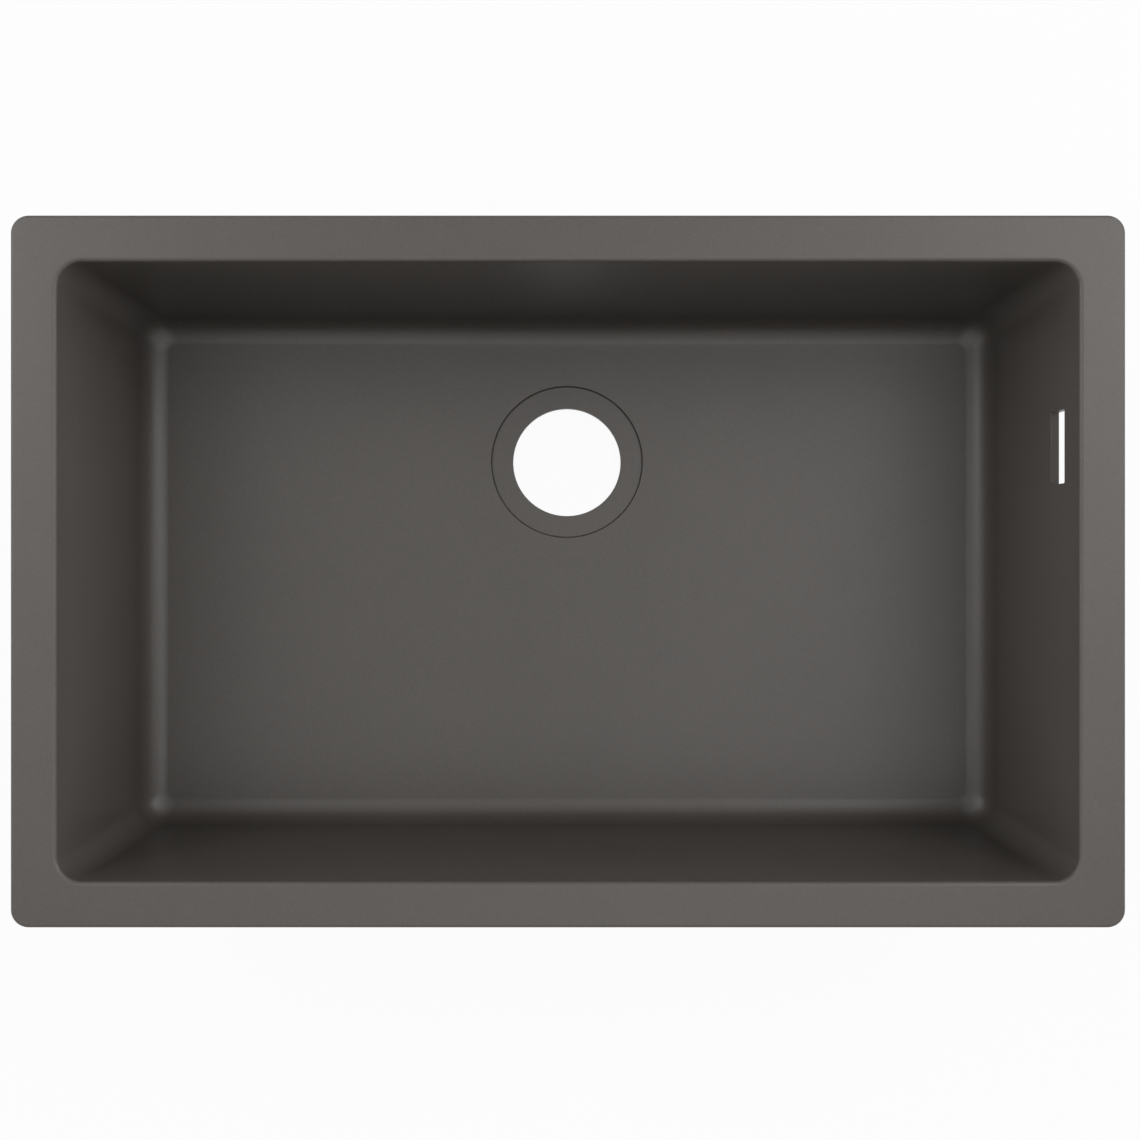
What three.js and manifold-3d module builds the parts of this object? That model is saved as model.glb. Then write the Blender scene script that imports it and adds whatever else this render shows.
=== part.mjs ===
// An undermount kitchen sink: one moulded quartz-composite bowl with a flat flange all round,
// and ten sets of fixings that are stowed under the flange and turn out under the worktop.
// Millimetres, +Z up, +Y to the back of the kitchen counter. The origin is the centre of the
// bowl's opening in the flange's top plane, the plane that meets the worktop's underside.
import * as THREE from "three";
import { mergeVertices } from "three/addons/utils/BufferGeometryUtils.js";
import Module from "manifold-3d";

const wasm = await Module();
wasm.setup();

// Bowl: its opening is measured at the foot of the rim's round
const bowlLength = 660;
const bowlWidth = 400;
const bowlDepth = 190;
const draftDegrees = 3.5;
const wallThickness = 8.5;
const floorThickness = 12;
const rimEdgeRadius = 3;
const rimCornerRadius = 16;
const footCornerRadius = 17;
const floorCornerRadius = 8;
const floorFilletRadius = 18;

// Flange: a flat ledge round the opening
const ledgeWidth = 30;
const flangeThickness = 10;
const flangeCornerRadius = 11.5;
const flangeTopRadius = 2;
const flangeBottomRadius = 1.5;
const coveRadius = 3;

// Drain: the floor falls to a shallow recess with an open hole
const drainOffset = 83; // from the bowl's centre towards the back
const drainHoleDiameter = 82;
const recessDiameter = 114;
const recessStep = 2.5;
const floorFall = 3; // from the farthest corner to the recess
const drainBossDiameter = 128;
const underBossDraft = 2; // how much its radius, and a pad's, grows to the root
const underEdgeChamfer = 1;

// Pads that the sink stands on before it is fitted, level with the drain's boss
const padDiameter = 30;
const padHeight = 3;
const padInsetX = 50; // from the edge of the flat underside
const padInsetY = 45;

// Overflow: an open slot in the right-hand wall, with a thinned seat for a housing outside it
const overflowDrop = 40.4; // from the flange's top to the slot's centre
const overflowLength = 49;
const overflowHeight = 25.4;
const overflowCornerRadius = 1;
const overflowSeatLength = 80;
const overflowSeatHeight = 50;
const overflowSeatCornerRadius = 8;
const overflowWall = 5.6; // wall left at the seat

// Fixings: a boss with a threaded insert, a lug, a washer and a screw at each station
const longEndInset = 120; // from the flange's end to the outer screws of the long sides
const shortEndInset = 70; // the same on the short sides
const bossHeight = 5;
const bossEdgeGap = 1.75; // to the flange's edge on one side and the wall on the other
const bossEdgeChamfer = 0.8;
const screwDiameter = 6;
const screwLength = 12;
const threadGap = 0.3; // all round the screw in every hole that it passes
const headAcrossFlats = 10;
const headHeight = 4;
const headChamfer = 1; // across its corners
const headChamferDegrees = 30;
const tipChamfer = 0.8;
const insertWall = 0.7; // round its bore
const insertLength = 8;
const insertGap = 0.3;
const insertGrooveWidth = 1.6;
const insertGrooveDepth = 0.5;
const insertHoleSpare = 3; // hole left past the insert
const seatGap = 0.3; // between faces that are clamped together
const washerDiameter = 12.5;
const washerThickness = 1.6;
const lugThickness = 2.5;
const lugReach = 40; // from the screw to the outer end
const lugEdgeGap = 2.75; // to the flange's edge on one side and the wall on the other
const lugHeadroom = 0.6; // left under the flange by the raised end
const lugBendStart = 12;
const lugBendEnd = 20;
const lugEndRadius = 5;
const lugHeelRadius = 1.2;
const lugHeelGap = 0.3; // to the bowl's wall when the lug is turned out
const slotWidth = 6.5;
const slotLength = 12;
const slotEndLand = 4.5;

// Facets
const cornerSteps = 7;
const floorSideSteps = { long: 7, short: 4 }; // sides are divided where they meet the drain
const plainSideSteps = { long: 1, short: 1 };
const filletSteps = 6;
const edgeSteps = 3;
const floorSteps = 4;
const drainFacets = 64;
const padFacets = 28;
const bossFacets = 24;
const smallFacets = 16;
const curveSegments = 2;

// Sizes that follow from those above
const draft = THREE.MathUtils.degToRad(draftDegrees);
const ledgeStrip = ledgeWidth - wallThickness; // free strip under the flange, outside the wall
const screwInset = ledgeStrip / 2;
const undersideZ = -bowlDepth - floorThickness;
const recessTopZ = -bowlDepth - floorFall;
const recessFloorZ = recessTopZ - recessStep;
const bossFaceZ = -flangeThickness - bossHeight;
const bossDiameter = ledgeStrip - 2 * bossEdgeGap;
const clearanceDiameter = screwDiameter + 2 * threadGap;
const insertDiameter = clearanceDiameter + 2 * insertWall;
const lugWidth = ledgeStrip - 2 * lugEdgeGap;
const lugTopZ = -seatGap;
const washerTopZ = lugTopZ - lugThickness - seatGap;
const headTopZ = washerTopZ - washerThickness - seatGap;
const lugRise = bossHeight + seatGap - lugHeadroom;
const overcut = 2;

const composite = { color: 0x68645f, roughness: 0.6, metalness: 0 };
const brass = { color: 0xb08d4a, roughness: 0.35, metalness: 0.9 };
const zincSteel = { color: 0xb4b7bb, roughness: 0.4, metalness: 0.9 };
const stainlessSteel = { color: 0xc6c8ca, roughness: 0.3, metalness: 0.95 };

const turnUp = (geometry) => geometry.rotateX(Math.PI / 2);
const steps = (count) => Array.from({ length: count + 1 }, (_, i) => i / count);

// How far a wall's inner face stands out from the bowl's nominal side at a height z
const wallGrow = (z) => (z + rimEdgeRadius) * Math.tan(draft);

// A three.js geometry as a solid: shared vertices merged, collapsed triangles dropped
function solidOf(geometry) {
  const bare = geometry.clone();
  bare.deleteAttribute("normal");
  bare.deleteAttribute("uv");
  const merged = mergeVertices(bare, 1e-4);
  const index = merged.index.array;
  const triVerts = [];
  for (let i = 0; i < index.length; i += 3) {
    const [a, b, c] = [index[i], index[i + 1], index[i + 2]];
    if (a !== b && b !== c && c !== a) triVerts.push(a, b, c);
  }
  return new wasm.Manifold(
    new wasm.Mesh({
      numProp: 3,
      vertProperties: new Float32Array(merged.attributes.position.array),
      triVerts: new Uint32Array(triVerts),
    }),
  );
}

function geometryOf(solid) {
  const mesh = solid.getMesh();
  const geometry = new THREE.BufferGeometry();
  geometry.setAttribute("position", new THREE.BufferAttribute(mesh.vertProperties, 3));
  geometry.setIndex(new THREE.BufferAttribute(mesh.triVerts, 1));
  const flat = geometry.toNonIndexed();
  flat.computeVertexNormals();
  return flat;
}

function meshOf(name, solid, finish) {
  const mesh = new THREE.Mesh(geometryOf(solid), new THREE.MeshStandardMaterial(finish));
  mesh.name = name;
  return mesh;
}

// A rounded rectangle of points at height z, anticlockwise from above. grow is added to each
// half of the bowl's opening, and each straight side is divided evenly.
function ring({ grow, z, radius }, sideSteps = plainSideSteps) {
  const halfX = bowlLength / 2 + grow;
  const halfY = bowlWidth / 2 + grow;
  const corners = [
    { x: halfX - radius, y: halfY - radius, start: 0, next: sideSteps.long },
    { x: radius - halfX, y: halfY - radius, start: 1, next: sideSteps.short },
    { x: radius - halfX, y: radius - halfY, start: 2, next: sideSteps.long },
    { x: halfX - radius, y: radius - halfY, start: 3, next: sideSteps.short },
  ];
  const arcs = corners.map(({ x, y, start }) =>
    steps(cornerSteps).map((t) => {
      const angle = ((start + t) * Math.PI) / 2;
      return new THREE.Vector3(x + radius * Math.cos(angle), y + radius * Math.sin(angle), z);
    }),
  );
  return corners.flatMap(({ next }, i) => {
    const arc = arcs[i];
    const from = arc[cornerSteps];
    const to = arcs[(i + 1) % arcs.length][0];
    const side = steps(next).slice(1, -1);
    return [...arc, ...side.map((t) => from.clone().lerp(to, t))];
  });
}

// A closed body through rings of equally many points, from the one at the centre of its
// underside round to the one at the centre of its top
function loft(rings) {
  const count = rings[0].length;
  const centreOf = (points) =>
    points.reduce((sum, p) => sum.add(p), new THREE.Vector3()).divideScalar(count);
  const positions = [...rings.flat(), centreOf(rings[0]), centreOf(rings.at(-1))];
  const underCentre = rings.length * count;
  const topCentre = underCentre + 1;
  const topStart = (rings.length - 1) * count;
  const index = [];
  for (let j = 0; j < count; j++) {
    const next = (j + 1) % count;
    for (let i = 0; i + 1 < rings.length; i++) {
      const low = i * count;
      const high = low + count;
      index.push(low + j, low + next, high + next, low + j, high + next, high + j);
    }
    index.push(underCentre, next, j);
    index.push(topCentre, topStart + j, topStart + next);
  }
  const geometry = new THREE.BufferGeometry().setFromPoints(positions);
  geometry.setIndex(index);
  return solidOf(geometry);
}

// A body turned about Z from a profile of [radius, z] points that runs up its outside
function turned(profile, facets) {
  const points = profile.map(([radius, z]) => new THREE.Vector2(radius, z));
  return solidOf(turnUp(new THREE.LatheGeometry(points, facets)));
}

// A plain round bar between two heights
const cylinder = (radius, low, high, facets) =>
  turned([[0, low], [radius, low], [radius, high], [0, high]], facets);

// A ring with a square section
function tube(inner, outer, low, high, facets) {
  const profile = [[inner, low], [outer, low], [outer, high], [inner, high], [inner, low]];
  return turned(profile, facets);
}

function roundedRectangle(width, height, radius) {
  const shape = new THREE.Shape();
  const x = width / 2 - radius;
  const y = height / 2 - radius;
  shape.absarc(x, y, radius, 0, Math.PI / 2);
  shape.absarc(-x, y, radius, Math.PI / 2, Math.PI);
  shape.absarc(-x, -y, radius, Math.PI, 1.5 * Math.PI);
  shape.absarc(x, -y, radius, 1.5 * Math.PI, 2 * Math.PI);
  shape.closePath();
  return shape;
}

function extruded(shape, depth) {
  return new THREE.ExtrudeGeometry(shape, { depth, curveSegments, bevelEnabled: false });
}

// The fillet between a drafted wall and a flat floor, from the floor up to the wall
function floorFillet(filletRadius, floorZ, wallOffset, floorCorner, wallCorner) {
  const centreZ = floorZ + filletRadius;
  const wallZ = centreZ - filletRadius * Math.sin(draft);
  const centreGrow = wallGrow(wallZ) + wallOffset - filletRadius * Math.cos(draft);
  return steps(filletSteps).map((t) => {
    const angle = THREE.MathUtils.lerp(-Math.PI / 2, -draft, t);
    const reach = Math.cos(angle) / Math.cos(draft);
    return {
      grow: centreGrow + filletRadius * Math.cos(angle),
      z: centreZ + filletRadius * Math.sin(angle),
      radius: THREE.MathUtils.lerp(floorCorner, wallCorner, reach),
      level: 1 - t,
    };
  });
}

// A quarter round of an edge or a cove, from one angle to another about its centre
function quarterRound(centreGrow, centreZ, arcRadius, fromDegrees, toDegrees, cornerOf) {
  return steps(edgeSteps).map((t) => {
    const angle = THREE.MathUtils.degToRad(THREE.MathUtils.lerp(fromDegrees, toDegrees, t));
    const grow = centreGrow + arcRadius * Math.cos(angle);
    return { grow, z: centreZ + arcRadius * Math.sin(angle), radius: cornerOf(grow) };
  });
}

const innerFillet = floorFillet(
  floorFilletRadius,
  -bowlDepth,
  0,
  floorCornerRadius,
  footCornerRadius,
);

// How far the floor lies below its farthest corner: a very shallow cone about the drain
const floorEdge = innerFillet[0];
const farthestCorner = Math.hypot(
  bowlLength / 2 + floorEdge.grow,
  bowlWidth / 2 + floorEdge.grow + drainOffset,
);
function floorDrop(point) {
  const recessRadius = recessDiameter / 2;
  const distance = Math.hypot(point.x, point.y - drainOffset);
  const way = (distance - recessRadius) / (farthestCorner - recessRadius);
  return floorFall * THREE.MathUtils.clamp(1 - way, 0, 1);
}

// The space inside the bowl: floor cone, floor fillet, drafted walls and the round of the rim
function bowlSpace() {
  const edge = ring(floorEdge, floorSideSteps);
  const drainCentre = new THREE.Vector3(0, drainOffset, -bowlDepth);
  const insideRecess = recessDiameter / 2 - overcut;
  const floor = steps(floorSteps)
    .slice(0, -1)
    .map((t) =>
      edge.map((p) => {
        const out = p.clone().sub(drainCentre).setLength(insideRecess).add(drainCentre);
        const point = out.lerp(p, t);
        point.z -= floorDrop(point);
        return point;
      }),
    );
  const fillet = innerFillet.map((spec) => {
    const points = ring(spec, floorSideSteps);
    points.forEach((p) => (p.z -= floorDrop(p) * spec.level));
    return points;
  });
  const rim = quarterRound(
    rimEdgeRadius,
    -rimEdgeRadius,
    rimEdgeRadius,
    180,
    90,
    (grow) => rimCornerRadius + grow,
  );
  const above = { ...rim.at(-1), z: overcut };
  const upper = [...rim, above].map((spec) => ring(spec, floorSideSteps));
  return loft([...floor, ...fillet, ...upper]);
}

// The outside of the moulding: flat underside, walls, cove under the flange, and the flange
function bowlOutside() {
  const outerFillet = floorFillet(
    floorFilletRadius + wallThickness,
    undersideZ,
    wallThickness,
    floorCornerRadius + wallThickness,
    footCornerRadius + wallThickness,
  );
  const coveZ = -flangeThickness - coveRadius;
  const wallTop = wallThickness + wallGrow(coveZ);
  const coveCentre = wallTop + coveRadius;
  const cove = quarterRound(
    coveCentre,
    coveZ,
    coveRadius,
    180,
    90,
    (grow) => rimCornerRadius + grow,
  );
  const flangeCorner = (grow) => flangeCornerRadius + grow - ledgeWidth;
  const lowEdge = quarterRound(
    ledgeWidth - flangeBottomRadius,
    -flangeThickness + flangeBottomRadius,
    flangeBottomRadius,
    -90,
    0,
    flangeCorner,
  );
  const topEdge = quarterRound(
    ledgeWidth - flangeTopRadius,
    -flangeTopRadius,
    flangeTopRadius,
    0,
    90,
    flangeCorner,
  );
  const specs = [...outerFillet, ...cove, ...lowEdge, ...topEdge];
  return loft(specs.map((spec) => ring(spec)));
}

// A raised round seat that faces down, with its edge chamfered, and grows a little to its root
function downwardBoss(radius, faceZ, rootZ, rootGrow, facets) {
  const profile = [
    [0, faceZ],
    [radius - bossEdgeChamfer, faceZ],
    [radius, faceZ + bossEdgeChamfer],
    [radius + rootGrow, rootZ],
    [0, rootZ],
  ];
  return turned(profile, facets);
}

function padPlaces() {
  const flatX = bowlLength / 2 + floorEdge.grow - padInsetX;
  const flatY = bowlWidth / 2 + floorEdge.grow - padInsetY;
  return [
    [flatX, flatY],
    [-flatX, flatY],
    [-flatX, -flatY],
    [flatX, -flatY],
  ];
}

// The recess round the drain hole, the hole and its chamfered lower edge
function drainSpace() {
  const holeRadius = drainHoleDiameter / 2;
  const faceZ = undersideZ - padHeight;
  const profile = [
    [0, faceZ - overcut],
    [holeRadius + underEdgeChamfer + overcut, faceZ - overcut],
    [holeRadius, faceZ + underEdgeChamfer],
    [holeRadius, recessFloorZ],
    [recessDiameter / 2, recessFloorZ],
    [recessDiameter / 2, -bowlDepth + overcut],
    [0, -bowlDepth + overcut],
  ];
  return turned(profile, drainFacets).translate([0, drainOffset, 0]);
}

// A shape drawn on the right-hand wall's plane, cut outwards from startX along +X
function throughWall(shape, startX, depth, tilt) {
  const across = new THREE.Matrix4().makeBasis(
    new THREE.Vector3(0, 1, 0),
    new THREE.Vector3(0, 0, 1),
    new THREE.Vector3(1, 0, 0),
  );
  const geometry = extruded(shape, depth).applyMatrix4(across).rotateY(tilt);
  geometry.translate(startX, drainOffset, -overflowDrop);
  return solidOf(geometry);
}

function overflowSpace() {
  const innerX = bowlLength / 2 + wallGrow(-overflowDrop);
  const slot = roundedRectangle(overflowLength, overflowHeight, overflowCornerRadius);
  const seat = roundedRectangle(
    overflowSeatLength,
    overflowSeatHeight,
    overflowSeatCornerRadius,
  );
  const opening = throughWall(slot, innerX - wallThickness, 3 * wallThickness, 0);
  return opening.add(throughWall(seat, innerX + overflowWall, 2 * wallThickness, draft));
}

// Where the fixings stand. A lug is stowed along its side of the flange and turns 90 degrees
// anticlockwise, seen from above, to point outwards.
function fixingStations() {
  const longX = bowlLength / 2 + ledgeWidth - longEndInset;
  const shortY = bowlWidth / 2 + ledgeWidth - shortEndInset;
  const sideY = bowlWidth / 2 + ledgeWidth - screwInset;
  const sideX = bowlLength / 2 + ledgeWidth - screwInset;
  const back = [-longX, 0, longX].map((x) => ({ side: "back", x, y: sideY, turn: 0 }));
  const front = [-longX, 0, longX].map((x) => ({ side: "front", x, y: -sideY, turn: 180 }));
  const left = [-shortY, shortY].map((y) => ({ side: "left", x: -sideX, y, turn: 90 }));
  const right = [-shortY, shortY].map((y) => ({ side: "right", x: sideX, y, turn: -90 }));
  return [back, front, left, right].flatMap((row) =>
    row.map((station, i) => ({ ...station, label: `${station.side}_${i + 1}` })),
  );
}

const stations = fixingStations();

function makeBowl() {
  const bossRootZ = -flangeThickness + overcut;
  const boss = downwardBoss(bossDiameter / 2, bossFaceZ, bossRootZ, 0, bossFacets);
  const insertHole = cylinder(
    insertDiameter / 2 + insertGap,
    bossFaceZ - overcut,
    bossFaceZ + insertLength + insertHoleSpare,
    smallFacets,
  );
  const drainBoss = downwardBoss(
    drainBossDiameter / 2,
    undersideZ - padHeight,
    undersideZ + overcut,
    underBossDraft,
    drainFacets,
  ).translate([0, drainOffset, 0]);
  const pad = downwardBoss(
    padDiameter / 2,
    undersideZ - padHeight,
    undersideZ + overcut,
    underBossDraft,
    padFacets,
  );
  const atStation = (solid) => stations.map(({ x, y }) => solid.translate([x, y, 0]));
  const pads = padPlaces().map(([x, y]) => pad.translate([x, y, 0]));
  const raised = wasm.Manifold.union([bowlOutside(), drainBoss, ...pads, ...atStation(boss)]);
  const cuts = wasm.Manifold.union([
    bowlSpace(),
    drainSpace(),
    overflowSpace(),
    ...atStation(insertHole),
  ]);
  return meshOf("bowl", raised.subtract(cuts), composite);
}

// The small pieces are made about their screw's axis, with z = 0 at the boss's face

function makeInsert() {
  const bore = clearanceDiameter / 2;
  const outer = insertDiameter / 2;
  const groove = outer - insertGrooveDepth;
  const low = (insertLength - insertGrooveWidth) / 2;
  const profile = [
    [bore, 0],
    [outer, 0],
    [outer, low],
    [groove, low],
    [groove, low + insertGrooveWidth],
    [outer, low + insertGrooveWidth],
    [outer, insertLength],
    [bore, insertLength],
    [bore, 0],
  ];
  return turned(profile, smallFacets);
}

// The lug's outline from above: a heel that meets the bowl's wall when the lug is turned out,
// a tail that clears the wall on the way, and a rounded outer end
function lugOutline(heelLength) {
  const half = lugWidth / 2;
  const end = lugReach - lugEndRadius;
  const endY = half - lugEndRadius;
  const shape = new THREE.Shape();
  shape.absarc(0, 0, half, Math.PI, 1.5 * Math.PI);
  shape.absarc(end, -endY, lugEndRadius, 1.5 * Math.PI, 2 * Math.PI);
  shape.absarc(end, endY, lugEndRadius, 0, Math.PI / 2);
  shape.absarc(lugHeelRadius - heelLength, half - lugHeelRadius, lugHeelRadius, Math.PI / 2, Math.PI);
  shape.lineTo(-heelLength, 0);
  shape.closePath();
  return shape;
}

// The lug's side view, as a strip of even thickness with two bends
function lugProfile(heelLength) {
  const bendShift = lugThickness * Math.tan(Math.atan2(lugRise, lugBendEnd - lugBendStart) / 2);
  const top = [
    [-heelLength - overcut, 0],
    [lugBendStart, 0],
    [lugBendEnd, lugRise],
    [lugReach + overcut, lugRise],
  ];
  const under = top.map(([x, z]) => [x + bendShift, z - lugThickness]).reverse();
  return new THREE.Shape([...top, ...under].map(([x, z]) => new THREE.Vector2(x, z)));
}

function makeLug() {
  const wallDistance = screwInset - wallGrow(bossFaceZ + lugTopZ);
  const heelLength = wallDistance - lugHeelGap;
  const tall = 2 * (lugThickness + lugRise);
  const wide = 2 * lugWidth;
  const plan = solidOf(extruded(lugOutline(heelLength), tall).translate(0, 0, -tall / 2));
  const side = extruded(lugProfile(heelLength), wide).translate(0, 0, -wide / 2);
  const slotCentre = lugReach - slotEndLand - slotLength / 2;
  const slotShape = roundedRectangle(slotLength, slotWidth, slotWidth / 2);
  const slot = extruded(slotShape, tall).translate(slotCentre, 0, -tall / 2);
  const hole = cylinder(clearanceDiameter / 2, -tall, tall, smallFacets);
  return plan
    .intersect(solidOf(turnUp(side)))
    .subtract(solidOf(slot))
    .subtract(hole)
    .translate([0, 0, lugTopZ]);
}

function makeWasher() {
  const low = washerTopZ - washerThickness;
  return tube(clearanceDiameter / 2, washerDiameter / 2, low, washerTopZ, smallFacets);
}

function makeScrew() {
  const shankRadius = screwDiameter / 2;
  const cornerRadius = headAcrossFlats / 2 / Math.cos(Math.PI / 6);
  const headLow = headTopZ - headHeight;
  const tip = headTopZ + screwLength;
  const chamferSlope = Math.tan(THREE.MathUtils.degToRad(headChamferDegrees));
  const hexagon = cylinder(cornerRadius, headLow, headTopZ, 6);
  const chamfering = turned(
    [
      [0, headLow],
      [cornerRadius - headChamfer, headLow],
      [cornerRadius + overcut, headLow + (headChamfer + overcut) * chamferSlope],
      [cornerRadius + overcut, headTopZ],
      [0, headTopZ],
    ],
    smallFacets,
  );
  const shank = turned(
    [
      [0, headTopZ - headHeight / 2],
      [shankRadius, headTopZ - headHeight / 2],
      [shankRadius, tip - tipChamfer],
      [shankRadius - tipChamfer, tip],
      [0, tip],
    ],
    smallFacets,
  );
  return hexagon.intersect(chamfering).add(shank);
}

function makeFixings() {
  const pieces = [
    { kind: "insert", solid: makeInsert(), finish: brass },
    { kind: "lug", solid: makeLug(), finish: zincSteel },
    { kind: "washer", solid: makeWasher(), finish: stainlessSteel },
    { kind: "screw", solid: makeScrew(), finish: stainlessSteel },
  ];
  return stations.map(({ label, x, y, turn }) => {
    const fixing = new THREE.Group();
    fixing.position.set(x, y, bossFaceZ);
    fixing.rotation.z = THREE.MathUtils.degToRad(turn);
    pieces.forEach(({ kind, solid, finish }) =>
      fixing.add(meshOf(`${kind}_${label}`, solid, finish)),
    );
    return fixing;
  });
}

const sink = new THREE.Group();
sink.add(makeBowl(), ...makeFixings());

export default sink;
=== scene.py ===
import math

import bmesh
import bpy
from mathutils import Matrix, Vector


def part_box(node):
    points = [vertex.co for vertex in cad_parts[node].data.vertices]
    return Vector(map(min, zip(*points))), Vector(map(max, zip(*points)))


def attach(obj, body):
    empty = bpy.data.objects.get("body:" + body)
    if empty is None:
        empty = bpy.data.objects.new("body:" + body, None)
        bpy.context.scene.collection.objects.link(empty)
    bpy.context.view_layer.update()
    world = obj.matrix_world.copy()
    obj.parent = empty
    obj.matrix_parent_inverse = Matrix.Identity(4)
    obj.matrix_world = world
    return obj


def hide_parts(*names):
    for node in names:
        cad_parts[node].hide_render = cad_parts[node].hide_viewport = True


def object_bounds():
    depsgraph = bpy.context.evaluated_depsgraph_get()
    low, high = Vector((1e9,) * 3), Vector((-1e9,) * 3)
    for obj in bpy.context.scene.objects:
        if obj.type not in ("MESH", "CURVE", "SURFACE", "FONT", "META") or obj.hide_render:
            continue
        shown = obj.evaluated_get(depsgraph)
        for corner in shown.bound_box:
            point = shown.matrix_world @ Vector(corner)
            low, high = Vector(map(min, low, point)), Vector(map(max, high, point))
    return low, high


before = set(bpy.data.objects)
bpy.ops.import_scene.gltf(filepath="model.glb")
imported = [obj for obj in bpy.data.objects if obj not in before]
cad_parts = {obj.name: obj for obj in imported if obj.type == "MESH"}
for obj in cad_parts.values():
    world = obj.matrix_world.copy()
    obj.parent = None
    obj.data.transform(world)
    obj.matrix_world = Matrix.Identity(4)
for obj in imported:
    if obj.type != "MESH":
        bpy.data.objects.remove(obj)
cadLow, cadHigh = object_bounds()

mm = 0.001
scene = bpy.context.scene


def linkObject(name, mesh):
    obj = bpy.data.objects.new(name, mesh)
    scene.collection.objects.link(obj)
    return obj


def meshFrom(shape, name):
    mesh = bpy.data.meshes.new(name)
    shape.to_mesh(mesh)
    shape.free()
    return mesh


# the object's modifiers end up in its mesh
def applyAll(obj):
    depsgraph = bpy.context.evaluated_depsgraph_get()
    finished = bpy.data.meshes.new_from_object(obj.evaluated_get(depsgraph))
    finished.name = obj.name
    obj.modifiers.clear()
    obj.data = finished
    return obj


def smoothExceptEdges(obj, degrees):
    obj.data.shade_smooth()
    obj.data.set_sharp_from_angle(angle=math.radians(degrees))
    weighted = obj.modifiers.new("flat faces stay flat", "WEIGHTED_NORMAL")
    weighted.keep_sharp = True
    return applyAll(obj)


# the photo looks straight down
photoView = {
    "height": 1091 * mm,  # above the flange's top
    "x": -4.5 * mm,
    "y": 0.95 * mm,
    "focal": 1691,  # in pixels of the photo
    "photoWidth": 1140,
    "centreOffset": 9.0,  # pixels from the lens axis to the middle of the photo
    "sensor": 36,
    "near": 0.01,
    "far": 50,
}


def makeCamera():
    data = bpy.data.cameras.new("camera")
    data.sensor_width = photoView["sensor"]
    data.lens = photoView["sensor"] * photoView["focal"] / photoView["photoWidth"]
    data.shift_x = photoView["centreOffset"] / photoView["photoWidth"]
    data.clip_start = photoView["near"]
    data.clip_end = photoView["far"]
    camera = linkObject("camera", data)
    camera.location = (photoView["x"], photoView["y"], photoView["height"])
    scene.camera = camera


ground = {
    "corners": 3,
    "reach": 14,  # from the middle to each corner
    "gap": 0.2 * mm,  # keeps it clear of the faces that stand on it
    "white": 0.9,
    "holeClear": 5 * mm,  # the dark ground reaches this far past the drain's hole
    "underGap": 8 * mm,  # a ray shorter than this starts under the drain's boss
    "shadowShare": 0.06,  # how much of the ground's look is lit by the lamps
    "fade": (1, 4),  # that share goes to nothing between these distances
}


# a socket gets a plain value or a link from another node's socket
def feed(tree, socket, value):
    if isinstance(value, bpy.types.NodeSocket):
        tree.links.new(value, socket)
    else:
        socket.default_value = value


# names that aren't sockets are the node's own settings
def addNode(tree, kind, **values):
    node = tree.nodes.new(kind)
    for key, value in values.items():
        if key in node.inputs:
            feed(tree, node.inputs[key], value)
        else:
            setattr(node, key, value)
    return node


def calculate(tree, operation, *values):
    node = addNode(tree, "ShaderNodeMath", operation=operation)
    for socket, value in zip(node.inputs, values):
        feed(tree, socket, value)
    return node.outputs[0]


def remap(tree, value, fromLow, fromHigh, toLow, toHigh):
    node = addNode(tree, "ShaderNodeMapRange", Value=value)
    for socket, number in zip(node.inputs[1:5], (fromLow, fromHigh, toLow, toHigh)):
        feed(tree, socket, number)
    return node.outputs[0]


def mixShaders(tree, share, first, second):
    node = addNode(tree, "ShaderNodeMixShader", Fac=share)
    feed(tree, node.inputs[1], first.outputs[0])
    feed(tree, node.inputs[2], second.outputs[0])
    return node


# 1 where the ray comes from the camera, a mirror-like surface or glass
def seenDirectly(tree):
    path = addNode(tree, "ShaderNodeLightPath")
    mirrored = calculate(
        tree, "MAXIMUM", path.outputs["Is Glossy Ray"], path.outputs["Is Transmission Ray"]
    )
    return path, calculate(tree, "MAXIMUM", path.outputs["Is Camera Ray"], mirrored)


def distanceFromDrain(tree):
    place = addNode(tree, "ShaderNodeNewGeometry")
    distance = addNode(tree, "ShaderNodeVectorMath", operation="DISTANCE")
    feed(tree, distance.inputs[0], place.outputs["Position"])
    feed(tree, distance.inputs[1], (0, drain["back"], cadLow.z))
    return distance.outputs["Value"]


# no light reaches the ground in the drain's hole, so the bowl mirrors it dark
def seenOutsideHole(tree, distance):
    path, seen = seenDirectly(tree)
    lit = calculate(tree, "GREATER_THAN", distance, drain["hole"] + ground["holeClear"])
    lit = calculate(tree, "MAXIMUM", lit, path.outputs["Is Camera Ray"])
    under = calculate(tree, "LESS_THAN", path.outputs["Ray Length"], ground["underGap"])
    lit = calculate(tree, "MAXIMUM", lit, under)
    return calculate(tree, "MULTIPLY", seen, lit)


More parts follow.
